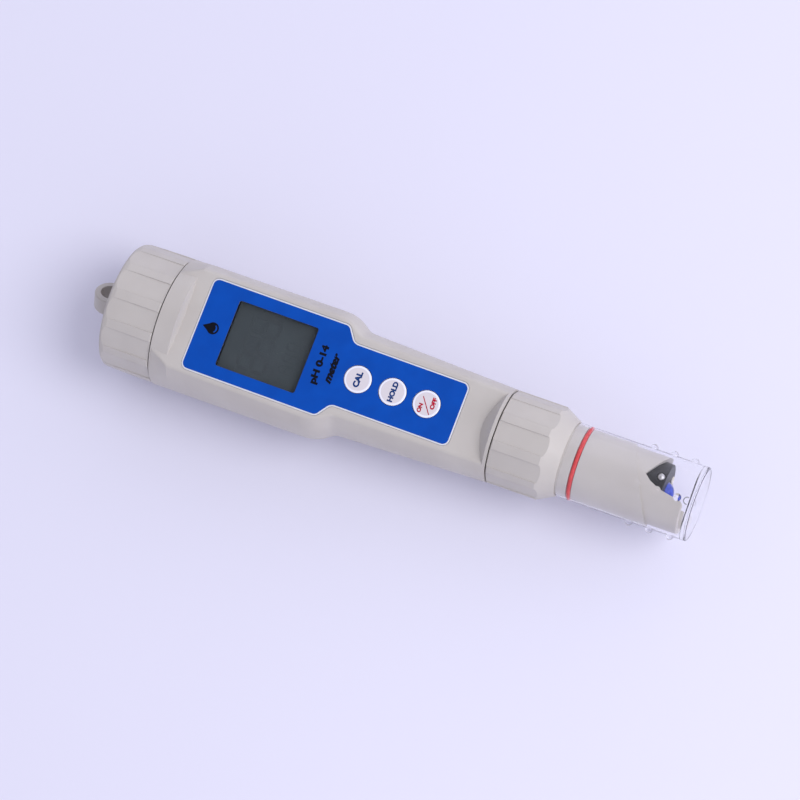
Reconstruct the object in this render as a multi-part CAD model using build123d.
from build123d import *
import math
import os

# ---------------------------------------------------------------------------
# Pocket pH meter, in millimetres. The pen axis is X: the battery cap is at -X,
# the electrode at +X, the label looks up along +Z. Shapes are drawn with the
# pen axis at Z = 0 and lifted by axis_height when they are written.
# ---------------------------------------------------------------------------

# Lengths along the pen
overall_length = 186.9
eye_length = 9.35
battery_cap_length = 16.45
housing_length = 101.8
collar_length = 20.1
seam_gap = 0.35
cap_mouth_gap = 0.5

# Radii and levels
body_radius = 19.0
axis_height = 18.8
wall = 2.0
top_wall = 3.2
narrow_half_width = 15.42
end_radius = 13.9
edge_round = 1.3

# Stations along the pen
x_eye_tip = -overall_length / 2
x_cap_end = x_eye_tip + eye_length
x_seam = x_cap_end + battery_cap_length
x_collar_seam = x_seam + housing_length
x_collar_front = x_collar_seam + collar_length
x_clear_mouth = x_collar_front + cap_mouth_gap
x_clear_end = overall_length / 2

# Flat face that carries the label: it falls towards the electrode
face_level = 10.927
face_slope = 0.0615
face_angle = math.atan(face_slope)
face = Plane(
    origin=(0, 0, face_level),
    x_dir=(math.cos(face_angle), 0, -math.sin(face_angle)),
    z_dir=(math.sin(face_angle), 0, math.cos(face_angle)),
)

# Housing stations
flange_length = 5.4
flange_slant = 0.5
flange_flat_half = 11.8
shoulder_end = -61.5
neck = [(-20.0, 19.0), (-18.5, 18.85), (-17.0, 18.5), (-15.5, 17.9), (-14.0, 16.95),
        (-13.0, 16.25), (-12.0, 15.75), (-11.0, 15.5), (-10.0, narrow_half_width)]
side_step = 3.95
neck_step = 3.55
end_flat_half = 10.7
right_flange_length = 0.9
right_cone_length = 3.75
cavity_start = -60.0
cavity_end = 31.0
cavity_end_half_width = 14.05
cavity_end_flat_half = 10.85
cavity_corner = 1.0
boss_side, boss_radius, boss_length = 11.4, 2.6, 8.0
boss_web_reach = 17.6
boss_hole_radius, boss_hole_depth = 0.95, 7.0

# Lanyard eye
eye_radius = 4.7
eye_hole = 2.95
eye_thickness = 5.2
eye_turn = 40.0
eye_round = 0.45

# Battery end
spigot_radius = 16.0
spigot_end = -80.0
bay_radius = 14.2
battery_pitch = 3.0
battery_crest = 16.55
battery_thread_start = spigot_end + 1.6
battery_thread_length = 7.5
cap_bore = 16.75
cap_floor = 2.2
cap_ribs = 13
cap_rib_width = 8.6
cap_rib_phase = -28.95
cap_facet = 18.5
seal_radius = 17.5
seal_section = 0.6

# Electrode end
tail_radius = 11.35
tail_end = 45.0
tail_bore = 9.6
collar_pitch = 2.5
collar_crest = 11.85
collar_thread_start = x_collar_seam + 3.2
collar_thread_length = 6.25
collar_bore = 12.05
collar_shoulder = 48.2
collar_front_bore = 10.65
collar_nose_radius = 11.2
collar_cone_start = 49.2
collar_flats_end = 50.4
collar_ribs = 10
collar_rib_width = 10.8
collar_rib_phase = 14.4
collar_facet = 13.35

# Electrode module
shell_radius = 10.55
shell_bore = 8.6
guard_radius = 9.9
core_radius = 8.4
flange_start = 46.2
flange_end = 48.0
flange_radius = 11.3
guard_seat = 60.0
shoulder_x = 76.45
shoulder_slope = 0.49
notch_x, notch_y = 77.8, 2.1
notch_slope = 0.59
notch_edge = [(79.7, 0.5), (81.7, -0.4), (83.5, -1.05)]
guard_tip = 90.45
prong_corner, prong_edge = 1.4, -2.1
core_front = 83.6
core_round = 0.25
bulb_radius = 3.4
bulb_wall = 0.35
bulb_x = 82.6
bead_x, bead_angle, bead_radius = 82.0, 20.0, 1.2
junction_y, junction_z, junction_radius = 4.6, -3.6, 1.18
stem_radius = 2.0
stem_bore = 1.4
stem_start = 53.0
ring_x = 58.35
ring_section = 0.7
ring_outer = 10.57
seat_seal_radius, seat_seal_section = 10.4, 0.55

# Socket, plug and pins
socket_start, socket_end = 33.0, 37.4
plug_start, plug_end = 38.2, 50.0
pin_start, pin_end, pin_taper = 32.0, 51.0, 0.6
pin_radius = 0.5
contact_radius, contact_bore, contact_start = 1.08, 0.6, 31.6
pin_circle, pin_count = 5.2, 5
wire_radius, wire_start = 0.38, 38.4

# Clear cap
clear_radius = 10.94
clear_bore = 10.62
clear_floor = 1.7
nub_radius = 1.15
nub_stations = (76.4, 82.5, 88.6)
nub_phase = -8.4

# Label, keys and display, in the plane of the flat face
label_x0, label_x1 = -57.85, 22.55
label_wide, label_narrow = 14.13, 9.73
label_neck_x0, label_neck_x1 = -15.89, -12.79
label_corner = 2.2
label_thickness = 0.4
label_gap = 0.1
plate_inset = 1.7
ledge_inset = 2.9
ledge_depth = 5.7
plate_thickness = 1.6
window_x0, window_x1 = -48.45, -23.9
window_half = 10.1
window_corner = 0.8
window_depth = 0.6
key_stations = {"cal": -8.31, "hold": 2.26, "on_off": 12.58}
key_radius = 3.95
key_hole = 4.1
key_proud = 0.15
key_flange_radius = 4.6
key_foot_radius = 1.4
plunger_radius, plunger_height = 1.6, 1.4
switch_size, switch_top = 6.0, -3.6
switch_well_radius, switch_well_depth = 1.75, 1.55

# Circuit
lcd_x0, lcd_x1, lcd_half = -49.4, -23.0, 10.4
lcd_top, lcd_thickness = -2.2, 2.4
board_top, board_thickness = -6.6, 1.6
board_x0, board_x1 = -53.5, 19.0
board_wide, board_narrow = 10.9, 6.5
board_neck_x0, board_neck_x1 = -17.6, -14.6
board_under = board_top - board_thickness
post_places = [(-52.2, -8.6), (-52.2, 8.6), (-19.4, -8.6), (-19.4, 8.6)]
post_radius, post_hole = 1.9, 0.75
zebra_inset, zebra_width, zebra_length = 2.2, 2.0, 15.0
chip_x, chip_size = -37.0, 9.0
converter_x, converter_length, converter_width = -16.0, 3.9, 4.9
chip_height = 1.3
trimmer_x, trimmer_size, trimmer_height = -20.6, 4.5, 3.0
crystal_x, crystal_y = -33.0, 8.6
passive_size = (2.0, 1.25, 0.8)
passive_places = [
    (-46, -6), (-46, -3), (-46, 3), (-46, 6), (-28, -7), (-28, -4), (-24, 5), (-24, 8),
    (-12, -3), (-9, 3), (-2, -3), (4, 3), (9, -3), (13, 3),
]

# Cells
cell_radius = 5.8
cell_height = 5.4
cell_rim = 0.9
cell_start = -78.0
cell_count = 4
stack_end = cell_start + cell_count * cell_height
contact_level = 5.85
contact_thickness = 0.4
tab_half = 1.5
strip_level, strip_thickness = -7.55, 0.3
holder_radius = 7.2
holder_flange = 2.0


def rod(radius, x0, x1):
    """Solid round bar along X."""
    return Pos((x0 + x1) / 2, 0, 0) * Rot(0, 90, 0) * Cylinder(radius, x1 - x0)


def tube(outer, inner, x0, x1):
    return rod(outer, x0, x1) - rod(inner, x0 - 1, x1 + 1)


def cone(r0, r1, x0, x1):
    return Pos((x0 + x1) / 2, 0, 0) * Rot(0, 90, 0) * Cone(r0, r1, x1 - x0)


def turned(points):
    """Solid of revolution about X from (x, radius) points."""
    outline = make_face(Polyline(*[(x, r) for x, r in points], close=True))
    return revolve(outline, Axis.X, 360)


def ring(major, minor, x):
    return Pos(x, 0, 0) * Rot(0, 90, 0) * Torus(major, minor)


def around(shape, angle):
    """Turn about the pen axis. Positive angles go from +Z towards +Y."""
    return Rot(-angle, 0, 0) * shape


def block(x0, x1, y0, y1, z0, z1):
    return Pos((x0 + x1) / 2, (y0 + y1) / 2, (z0 + z1) / 2) * Box(x1 - x0, y1 - y0, z1 - z0)


def on_face(shape):
    """Place a shape drawn with Z = 0 on the flat face and X along its slope."""
    return face.location * shape


def prism(outline, z0, z1):
    """Extrude a flat outline from z0 up to z1."""
    return Pos(0, 0, z0) * extrude(outline, amount=z1 - z0, dir=(0, 0, 1))


def thread_ridge(root, crest, pitch, length, x_start):
    """Helical ridge on a round root, running along +X from x_start."""
    path = Helix(pitch=pitch, height=length, radius=root)
    base, tip = 0.34 * pitch, 0.14 * pitch
    height = crest - root
    start = Plane(origin=path @ 0, x_dir=(1, 0, 0), z_dir=path % 0)
    outline = make_face(Polyline((-0.15, -base), (height, -tip), (height, tip), (-0.15, base), close=True))
    ridge = sweep(start * outline, path=path, is_frenet=True)
    return Pos(x_start, 0, 0) * Rot(0, 90, 0) * ridge


# ---------------------------------------------------------------------------
# Housing
# ---------------------------------------------------------------------------

def face_height(x):
    return face_level - face_slope * x


def section(x, half_width, flat_half, top, corner):
    """Cross-section at x: round back, bulging sides, flat top with rounded edges."""
    gap = half_width - flat_half
    bulge = (gap ** 2 + top ** 2) / (2 * gap)
    lean = math.asin(top / bulge) / 2
    side = (half_width - bulge + bulge * math.cos(lean), bulge * math.sin(lean))
    outline = make_face([
        ThreePointArc((half_width, 0), (0, -half_width), (-half_width, 0)),
        ThreePointArc((-half_width, 0), (-side[0], side[1]), (-flat_half, top)),
        Line((-flat_half, top), (flat_half, top)),
        ThreePointArc((flat_half, top), side, (half_width, 0)),
    ])
    outline = fillet(outline.vertices().group_by(Axis.Y)[-1], corner)
    return Plane(origin=(x, 0, 0), x_dir=(0, 1, 0), z_dir=(1, 0, 0)).location * outline


def housing_stations():
    """(x, half width, half width of the flat top) along the body."""
    left = [
        (x_seam + 0.5, body_radius - 0.05, flange_flat_half),
        (shoulder_end, body_radius, body_radius - side_step),
    ]
    middle = [(x, w, w - neck_step) for x, w in neck]
    return left + middle + [(x_collar_seam, end_radius, end_flat_half)]


def body_solid(inset, top_inset, corner, stations):
    """Loft the body from its stations, drawn in by a wall thickness."""
    def cut(station):
        x, half_width, flat_half = station
        top = face_height(x) - top_inset
        return section(x, half_width - inset, flat_half - 0.75 * inset, top, corner)
    count = len(stations)
    first, last = count - 1 - len(neck), count - 1
    solid = None
    for i in range(first):
        piece = loft([cut(stations[i]), cut(stations[i + 1])], ruled=True)
        solid = piece if solid is None else solid + piece
    solid = solid + loft([cut(s) for s in stations[first:last]])
    return solid + loft([cut(stations[last - 1]), cut(stations[last])], ruled=True)


def inner_stations():
    """Stations of the hollow, from the battery bay to the electrode socket."""
    stations = [(cavity_start, body_radius, body_radius - side_step)]
    stations += [(x, w, w - side_step) for x, w in neck]
    return stations + [(cavity_end, cavity_end_half_width, cavity_end_flat_half)]


def label_outline(inset=0.0):
    corners = [
        (label_x0, -label_wide), (label_neck_x0, -label_wide), (label_neck_x1, -label_narrow),
        (label_x1, -label_narrow), (label_x1, label_narrow), (label_neck_x1, label_narrow),
        (label_neck_x0, label_wide), (label_x0, label_wide),
    ]
    outline = make_face(Polyline(*corners, close=True))
    outline = fillet(outline.vertices(), label_corner)
    return offset(outline, amount=-inset) if inset else outline


def window_outline(grow=0.0):
    length = window_x1 - window_x0 + 2 * grow
    centre = (window_x0 + window_x1) / 2
    return Pos(centre, 0) * RectangleRounded(length, 2 * (window_half + grow), window_corner + grow)


def holder_bosses():
    """Two screw bosses for the battery holder, tied to the side walls."""
    solid = None
    for side in (-1, 1):
        boss = Pos(0, side * boss_side, 0) * rod(boss_radius, cavity_start, cavity_start + boss_length)
        low, high = sorted((side * boss_side, side * boss_web_reach))
        web = block(cavity_start, cavity_start + boss_length, low, high, -1, 1)
        solid = boss + web if solid is None else solid + boss + web
    return solid


def make_housing():
    slant_start = x_seam + flange_length
    slant_end = slant_start + flange_slant
    left_flange = rod(body_radius, x_seam, slant_start)
    left_flange = left_flange + cone(body_radius, face_height(slant_end), slant_start, slant_end)
    right_start = x_collar_seam - right_flange_length
    cone_start = right_start - right_cone_length
    right_flange = rod(end_radius, right_start, x_collar_seam)
    right_flange = right_flange + cone(face_height(cone_start), end_radius, cone_start, right_start)
    outer = body_solid(0, 0, edge_round, housing_stations()) + left_flange + right_flange
    outer = outer + rod(spigot_radius, spigot_end, x_seam + 1)
    outer = outer + rod(tail_radius, x_collar_seam - 1, tail_end)
    hollow = body_solid(wall, top_wall, cavity_corner, inner_stations())
    hollow = hollow + rod(bay_radius, spigot_end - 1, cavity_start + 0.5)
    hollow = hollow + rod(tail_bore, cavity_end - 1, tail_end + 1)
    solid = outer - hollow
    solid = solid + (holder_bosses() & body_solid(wall / 2, 2.0, cavity_corner, inner_stations()))
    for side in (-1, 1):
        hole = rod(boss_hole_radius, cavity_start - 1, cavity_start + boss_hole_depth)
        solid = solid - Pos(0, side * boss_side, 0) * hole
    plate_level = -label_thickness - plate_thickness
    solid = solid - on_face(prism(label_outline(), -label_thickness, 3))
    solid = solid - on_face(prism(label_outline(plate_inset), plate_level, 0))
    solid = solid - on_face(prism(label_outline(ledge_inset), -ledge_depth, 0))
    solid = solid - block(-100, 100, -30, 30, -30, -axis_height)
    solid = solid + thread_ridge(
        spigot_radius, battery_crest, battery_pitch, battery_thread_length, battery_thread_start)
    return solid + thread_ridge(
        tail_radius, collar_crest, collar_pitch, collar_thread_length, collar_thread_start)


# ---------------------------------------------------------------------------
# Face plate, label, keys and display
# ---------------------------------------------------------------------------

def make_face_plate():
    low = -label_thickness - plate_thickness
    plate = prism(label_outline(plate_inset + 0.08), low, -label_thickness)
    plate = plate - prism(window_outline(), low - 1, 1)
    for x in key_stations.values():
        plate = plate - Pos(x, 0, -1) * Cylinder(key_hole, 6)
    for x, y in post_places:
        plate = plate + Pos(x, y, (low + board_top) / 2) * Cylinder(post_radius, low - board_top)
        plate = plate - Pos(x, y, board_top + 1.9) * Cylinder(post_hole, 3.9)
    return on_face(plate)


def make_label():
    label = prism(label_outline(label_gap), -label_thickness, -0.05)
    label = label - prism(window_outline(), -2, 1)
    for x in key_stations.values():
        label = label - Pos(x, 0, 0) * Cylinder(key_hole, 4)
    return on_face(label)


def make_window():
    low = -label_thickness - plate_thickness + 0.1
    return on_face(prism(window_outline(-0.05), low, -window_depth))


def make_key(x):
    """Round key with a skirt that stops it under the plate and a short foot."""
    under = -label_thickness - plate_thickness - 0.1
    cap = Pos(x, 0, (under + key_proud) / 2) * Cylinder(key_radius, key_proud - under)
    cap = fillet(cap.edges().group_by(Axis.Z)[-1], 0.25)
    skirt = Pos(x, 0, under - 0.2) * Cylinder(key_flange_radius, 0.4)
    foot = Pos(x, 0, under - 0.6) * Cylinder(key_foot_radius, 0.6)
    return on_face(cap + skirt + foot)


def make_plunger(x):
    top = -label_thickness - plate_thickness - 1.0
    return on_face(Pos(x, 0, top - plunger_height / 2) * Cylinder(plunger_radius, plunger_height))


def make_switches():
    """Three tactile switches on the board, each open above its plunger."""
    solids = []
    for x in key_stations.values():
        body = block(x - switch_size / 2, x + switch_size / 2, -switch_size / 2, switch_size / 2,
                     board_top, switch_top)
        well = Pos(x, 0, switch_top) * Cylinder(switch_well_radius, 2 * switch_well_depth)
        solids.append(on_face(body - well))
    return Compound(solids)


def make_lcd():
    centre, length = (lcd_x0 + lcd_x1) / 2, lcd_x1 - lcd_x0
    rear = Pos(centre, 0, lcd_top - 1.8) * Box(length, 2 * lcd_half, 1.2)
    front = Pos(centre, 0, lcd_top - 0.6) * Box(length - 2.4, 2 * lcd_half, 1.2)
    return on_face(front + rear)


def make_bezel():
    """Frame that locates the display on the board."""
    centre, length = (lcd_x0 + lcd_x1) / 2, lcd_x1 - lcd_x0
    height = lcd_top - board_top
    outer = Pos(centre, 0, (lcd_top + board_top) / 2) * Box(length + 1.6, 2 * lcd_half + 1.4, height)
    inner = Pos(centre, 0, (lcd_top + board_top) / 2) * Box(length + 0.1, 2 * lcd_half + 0.1, height + 2)
    frame_body = outer - inner
    for x, y in post_places:
        frame_body = frame_body - Pos(x, y, (lcd_top + board_top) / 2) * Cylinder(2.1, height + 2)
    return on_face(frame_body)


def make_zebra_strips():
    """Two conductive rubber strips between display and board."""
    top = lcd_top - lcd_thickness
    strips = []
    for x in (lcd_x0 + zebra_inset, lcd_x1 - zebra_inset):
        strip = Box(zebra_width, zebra_length, top - board_top)
        strips.append(on_face(Pos(x, 0, (top + board_top) / 2) * strip))
    return Compound(strips)


def board_outline():
    corners = [
        (board_x0, -board_wide), (board_neck_x0, -board_wide), (board_neck_x1, -board_narrow),
        (board_x1, -board_narrow), (board_x1, board_narrow), (board_neck_x1, board_narrow),
        (board_neck_x0, board_wide), (board_x0, board_wide),
    ]
    return fillet(make_face(Polyline(*corners, close=True)).vertices(), 1.0)


def make_board():
    board = prism(board_outline(), board_under, board_top)
    for x, y in post_places:
        board = board - Pos(x, y, board_top) * Cylinder(1.05, 6)
    return on_face(board)


def make_board_screws():
    """Four pan-head screws from under the board into the plate's posts."""
    screws = []
    for x, y in post_places:
        head = Pos(x, y, board_under - 0.6) * Cylinder(1.8, 1.2)
        slot = Pos(x, y, board_under - 1.1) * Box(2.4, 0.5, 0.7)
        shank = Pos(x, y, board_under + 2.2) * Cylinder(post_hole - 0.05, 4.4)
        screws.append(on_face(head + shank - slot))
    return Compound(screws)


def on_board_back(x, y, length, width, height):
    """Component body on the back of the board."""
    return on_face(Pos(x, y, board_under - height / 2) * Box(length, width, height))


def make_passives():
    return Compound([on_board_back(x, y, *passive_size) for x, y in passive_places])


def make_trimmer():
    low = board_under - trimmer_height
    body = Pos(trimmer_x, 0, low + trimmer_height / 2) * Box(trimmer_size, trimmer_size, trimmer_height)
    screw = Pos(trimmer_x, 0, low - 0.2) * Cylinder(1.3, 0.4)
    return on_face(body + screw - Pos(trimmer_x, 0, low - 0.3) * Box(2.0, 0.4, 0.4))


def make_crystal():
    outline = Pos(crystal_x, crystal_y) * RectangleRounded(8.0, 3.2, 1.5)
    return on_face(prism(outline, board_under - 1.0, board_under))


# ---------------------------------------------------------------------------
# Battery end
# ---------------------------------------------------------------------------

def ribbed(outer, facet, count, width, phase, x0, x1):
    """Flat-sided bar of `count` sides with a raised rib on each corner."""
    solid = Pos((x0 + x1) / 2, 0, 0) * Rot(0, 90, 0) * extrude(
        RegularPolygon(facet, count, major_radius=False), amount=(x1 - x0) / 2, both=True)
    corner = math.degrees(math.pi / count)
    solid = around(solid, 180 + phase)
    half = outer * math.tan(math.radians(width / 2))
    for i in range(count):
        bar = block(x0, x1, -half, half, outer - 3, outer + 1)
        solid = solid + around(bar, phase + 2 * corner * i)
    return solid & rod(outer, x0, x1)


def make_battery_cap():
    end, mouth = x_cap_end, x_seam - seam_gap
    solid = ribbed(body_radius, cap_facet, cap_ribs, cap_rib_width, cap_rib_phase, end, mouth)
    envelope = turned([
        (end, 0), (end, 17.2), (end + 0.3, 18.0), (end + 0.9, 18.5), (end + 2.0, 18.8),
        (end + 7, 18.93), (mouth - 4, body_radius), (mouth - 0.25, body_radius),
        (mouth, body_radius - 0.25), (mouth, 0),
    ])
    solid = solid & envelope
    solid = solid - rod(cap_bore, end + cap_floor, mouth + 1)
    return solid - rod(seal_radius + seal_section + 0.05, mouth - 1.0, mouth + 1)


def make_battery_cap_seal():
    return ring(seal_radius, seal_section, x_seam - seam_gap - 0.35)


def make_cap_contact():
    return tube(12.0, 1.0, x_cap_end + cap_floor, x_cap_end + cap_floor + 0.4)


def make_cap_spring():
    """Coil that presses on the first cell."""
    start = x_cap_end + cap_floor + 0.4
    path = Helix(pitch=0.85, height=2.3, radius=3.6)
    wire = sweep(Plane(origin=path @ 0, z_dir=path % 0) * Circle(0.28), path=path, is_frenet=True)
    return Pos(start + 0.3, 0, 0) * Rot(0, 90, 0) * wire


def make_lanyard_eye():
    centre = x_eye_tip + eye_radius
    half = eye_thickness / 2
    solid = Pos(centre, 0, 0) * Cylinder(eye_radius, eye_thickness)
    solid = solid + block(centre, x_cap_end, -eye_radius, eye_radius, -half, half)
    rims = [e for e in solid.edges() if abs(abs(e.center().Z) - half) < 0.01]
    solid = fillet([e for e in rims if e.center().X < x_cap_end - 0.1], eye_round)
    solid = solid - Pos(centre, 0, 0) * Cylinder(eye_hole, eye_thickness + 2)
    return around(solid, eye_turn)


def make_battery_holder():
    """Slotted tube for the stack of cells on a round flange."""
    floor_end = stack_end + 1.7
    solid = tube(holder_radius, cell_radius + 0.1, cell_start + 0.6, stack_end + 0.5)
    solid = solid + rod(holder_radius, stack_end + 0.5, floor_end)
    solid = solid + tube(bay_radius - 0.1, holder_radius - 0.2, cavity_start - holder_flange, cavity_start)
    solid = solid - block(cell_start, cavity_start - 4, -4.2, 4.2, 3, 10)
    solid = solid - block(stack_end - 0.1, floor_end + 1, -tab_half - 0.6, tab_half + 0.6, 2, 9)
    solid = solid - block(spigot_end - 2, floor_end + 1, -tab_half - 0.2, tab_half + 0.2, -16, -6.9)
    for side in (-1, 1):
        solid = solid - Pos(0, side * boss_side, 0) * rod(1.25, cavity_start - 3, cavity_start + 1)
    return solid


def make_holder_screws():
    seat = cavity_start - holder_flange
    screws = []
    for side in (-1, 1):
        head = rod(2.0, seat - 1.2, seat) - block(seat - 2, seat - 0.7, -1.4, 1.4, -0.3, 0.3)
        shank = rod(boss_hole_radius - 0.05, seat, cavity_start + boss_hole_depth - 1)
        screws.append(Pos(0, side * boss_side, 0) * (head + shank))
    return Compound(screws)


def make_cell(index):
    """Button cell: can with a smaller raised cap towards +X."""
    x0 = cell_start + index * cell_height
    x1 = x0 + cell_height
    can = fillet(rod(cell_radius, x0, x1 - cell_rim).edges().group_by(Axis.X)[0], 0.5)
    return can + cone(5.1, 4.6, x1 - cell_rim, x1)


def make_inner_contact():
    """Plate behind the last cell with a tab up to the board."""
    thick = contact_thickness
    plate = rod(5.0, stack_end, stack_end + thick)
    tab = block(stack_end, stack_end + thick, -tab_half, tab_half, 2, contact_level)
    arm = block(stack_end, board_x0 + 0.6, -tab_half, tab_half, contact_level - thick, contact_level)
    return plate + tab + arm


def make_return_strip():
    """Spring strip from the cap contact to the board."""
    end = board_x0 + 1.2
    thick = strip_thickness
    run = block(spigot_end - 0.9, end, -tab_half, tab_half, strip_level, strip_level + thick)
    return run + block(end - thick, end, -tab_half, tab_half, strip_level, contact_level)


# ---------------------------------------------------------------------------
# Electrode end
# ---------------------------------------------------------------------------

def pin_places():
    """Evenly spaced (y, z) places on the pin circle."""
    turns = [2 * math.pi * i / pin_count for i in range(pin_count)]
    return [(pin_circle * math.sin(turn), pin_circle * math.cos(turn)) for turn in turns]


def make_socket():
    """Round socket fixed in the end of the housing."""
    solid = rod(tail_bore - 0.02, socket_start, socket_end)
    for y, z in pin_places():
        solid = solid - Pos(0, y, z) * rod(contact_radius + 0.02, socket_start - 1, socket_end + 1)
    return solid


def make_socket_contacts():
    sleeve = tube(contact_radius, contact_bore, contact_start, socket_end)
    return Compound([Pos(0, y, z) * sleeve for y, z in pin_places()])


def make_electrode_plug():
    solid = rod(shell_bore + 0.6, plug_start, flange_start) + rod(shell_bore - 0.02, flange_start, plug_end)
    for y, z in pin_places():
        solid = solid - Pos(0, y, z) * rod(pin_radius + 0.02, plug_start - 1, plug_end + 1)
    return solid - rod(wire_radius + 0.02, plug_start - 1, plug_end + 1)


def make_plug_pins():
    taper_end = pin_start + pin_taper
    pin = rod(pin_radius, taper_end, pin_end) + cone(pin_radius / 2, pin_radius, pin_start, taper_end)
    return Compound([Pos(0, y, z) * pin for y, z in pin_places()])


def oblique(x, slope, size=40):
    """Everything beyond the plane X = x - slope * Y."""
    plane = Plane(origin=(x, 0, 0), z_dir=(1, slope, 0))
    return plane.location * Box(size, size, size, align=(Align.CENTER, Align.CENTER, Align.MIN))


def make_electrode_shell():
    beyond = guard_tip
    solid = rod(shell_radius, flange_start, beyond) + rod(flange_radius, flange_start, flange_end)
    solid = solid - rod(shell_bore, flange_start - 1, beyond + 1) - rod(guard_radius, guard_seat, beyond + 1)
    half = ring_section + 0.05
    groove = tube(shell_radius + 1, ring_outer - 2 * ring_section - 0.02, ring_x - half, ring_x + half)
    return solid - groove - oblique(shoulder_x, shoulder_slope)


def guard_window():
    """Plan outline of the opening in front of the glass bulb."""
    top = 12.0
    bend = guard_tip - prong_corner
    nose = prong_edge - prong_corner
    corners = [(notch_x, notch_y), *notch_edge, (bend, prong_edge)]
    corner = ThreePointArc((bend, prong_edge), (guard_tip - 0.42, prong_edge - 0.42), (guard_tip, nose))
    far = (notch_x + notch_slope * (top - notch_y), top)
    rest = Polyline((guard_tip, nose), (guard_tip + 2, nose), (guard_tip + 2, top), far, corners[0])
    return make_face([*Polyline(*corners).edges(), corner, *rest.edges()])


def make_electrode_guard():
    solid = tube(guard_radius, core_radius, guard_seat, guard_tip)
    solid = fillet(solid.edges().group_by(Axis.X)[-1], 0.35)
    return solid - Pos(0, 0, -15) * extrude(guard_window(), amount=30, dir=(0, 0, 1))


def make_core():
    """Potting around the glass stem."""
    solid = rod(core_radius - 0.01, guard_seat + 2, core_front)
    solid = fillet(solid.edges().group_by(Axis.X)[-1], core_round)
    solid = solid - rod(stem_radius + 0.02, guard_seat, core_front + 1)
    solid = solid - Pos(bulb_x, 0, 0) * Sphere(bulb_radius + 0.05)
    solid = solid - around(Pos(bead_x, 0, 7.0) * Cylinder(bead_radius + 0.02, 5), bead_angle)
    junction_bore = rod(junction_radius + 0.02, core_front - 4, core_front + 1)
    return solid - Pos(0, junction_y, junction_z) * junction_bore


def make_glass_electrode():
    """Stem and thin-walled sensing bulb in one piece of glass."""
    solid = rod(stem_radius, stem_start, bulb_x) + Pos(bulb_x, 0, 0) * Sphere(bulb_radius)
    hollow = rod(stem_bore, stem_start - 1, bulb_x) + Pos(bulb_x, 0, 0) * Sphere(bulb_radius - bulb_wall)
    return solid - hollow


def make_silver_wire():
    return rod(wire_radius, wire_start, bulb_x + 0.8)


def make_stem_seal():
    """Rubber bung that closes the rear of the glass stem."""
    return tube(stem_bore - 0.02, wire_radius + 0.02, stem_start, stem_start + 3)


def make_temperature_bead():
    stud = Pos(bead_x, 0, 6.2) * Cylinder(bead_radius, 3.2)
    dome = Pos(bead_x, 0, 7.8) * Sphere(bead_radius)
    return around(stud + dome, bead_angle)


def make_junction():
    return Pos(0, junction_y, junction_z) * rod(junction_radius, core_front - 3.9, core_front + 0.3)


def make_cap_ring():
    return ring(ring_outer - ring_section, ring_section, ring_x)


def make_seat_seal():
    return ring(seat_seal_radius, seat_seal_section, flange_start - seat_seal_section - 0.01)


def make_collar():
    rear = x_collar_seam + seam_gap
    outer = end_radius - 0.05
    outline = turned([
        (rear, collar_bore), (rear, outer - 0.25), (rear + 0.25, outer), (collar_cone_start, outer),
        (x_collar_front - 0.25, collar_nose_radius + 0.12), (x_collar_front, collar_nose_radius - 0.1),
        (x_collar_front, collar_front_bore), (collar_shoulder, collar_front_bore),
        (collar_shoulder, collar_bore),
    ])
    ribs = ribbed(end_radius + 1, collar_facet, collar_ribs, collar_rib_width, collar_rib_phase,
                  rear - 1, collar_flats_end)
    sleeve = tube(end_radius + 2, collar_front_bore, rear - 1, collar_flats_end)
    return outline - (sleeve - ribs)


def make_clear_cap():
    solid = rod(clear_radius, x_clear_mouth, x_clear_end)
    solid = fillet(solid.edges().group_by(Axis.X)[-1], 0.6)
    for x in nub_stations:
        for i in range(4):
            solid = solid + around(Pos(x, 0, clear_radius) * Sphere(nub_radius), nub_phase + 90 * i)
    return solid - rod(clear_bore, x_clear_mouth - 1, x_clear_end - clear_floor)


def build():
    parts = {
        "housing": make_housing(),
        "face_plate": make_face_plate(),
        "label_overlay": make_label(),
        "display_window": make_window(),
        "tact_switches": make_switches(),
        "lcd_panel": make_lcd(),
        "lcd_bezel": make_bezel(),
        "zebra_strips": make_zebra_strips(),
        "main_board": make_board(),
        "board_screws": make_board_screws(),
        "microcontroller": on_board_back(chip_x, 0, chip_size, chip_size, chip_height),
        "converter_chip": on_board_back(converter_x, 0, converter_length, converter_width, chip_height),
        "smd_passives": make_passives(),
        "trimmer": make_trimmer(),
        "crystal": make_crystal(),
        "battery_holder": make_battery_holder(),
        "holder_screws": make_holder_screws(),
        "inner_contact": make_inner_contact(),
        "return_strip": make_return_strip(),
        "battery_cap": make_battery_cap(),
        "battery_cap_seal": make_battery_cap_seal(),
        "cap_contact_disc": make_cap_contact(),
        "cap_contact_spring": make_cap_spring(),
        "lanyard_eye": make_lanyard_eye(),
        "electrode_socket": make_socket(),
        "socket_contacts": make_socket_contacts(),
        "electrode_plug": make_electrode_plug(),
        "plug_pins": make_plug_pins(),
        "electrode_shell": make_electrode_shell(),
        "electrode_guard": make_electrode_guard(),
        "electrode_core": make_core(),
        "glass_electrode": make_glass_electrode(),
        "silver_wire": make_silver_wire(),
        "stem_seal": make_stem_seal(),
        "temperature_bead": make_temperature_bead(),
        "reference_junction": make_junction(),
        "seat_seal": make_seat_seal(),
        "cap_ring": make_cap_ring(),
        "lock_collar": make_collar(),
        "clear_cap": make_clear_cap(),
    }
    for name, x in key_stations.items():
        parts["key_" + name] = make_key(x)
        parts["plunger_" + name] = make_plunger(x)
    for i in range(cell_count):
        parts["button_cell_" + str(i + 1)] = make_cell(i)
    return parts


os.makedirs("parts", exist_ok=True)
for node, shape in build().items():
    export_step(Pos(0, 0, axis_height) * shape, "parts/" + node + ".step")
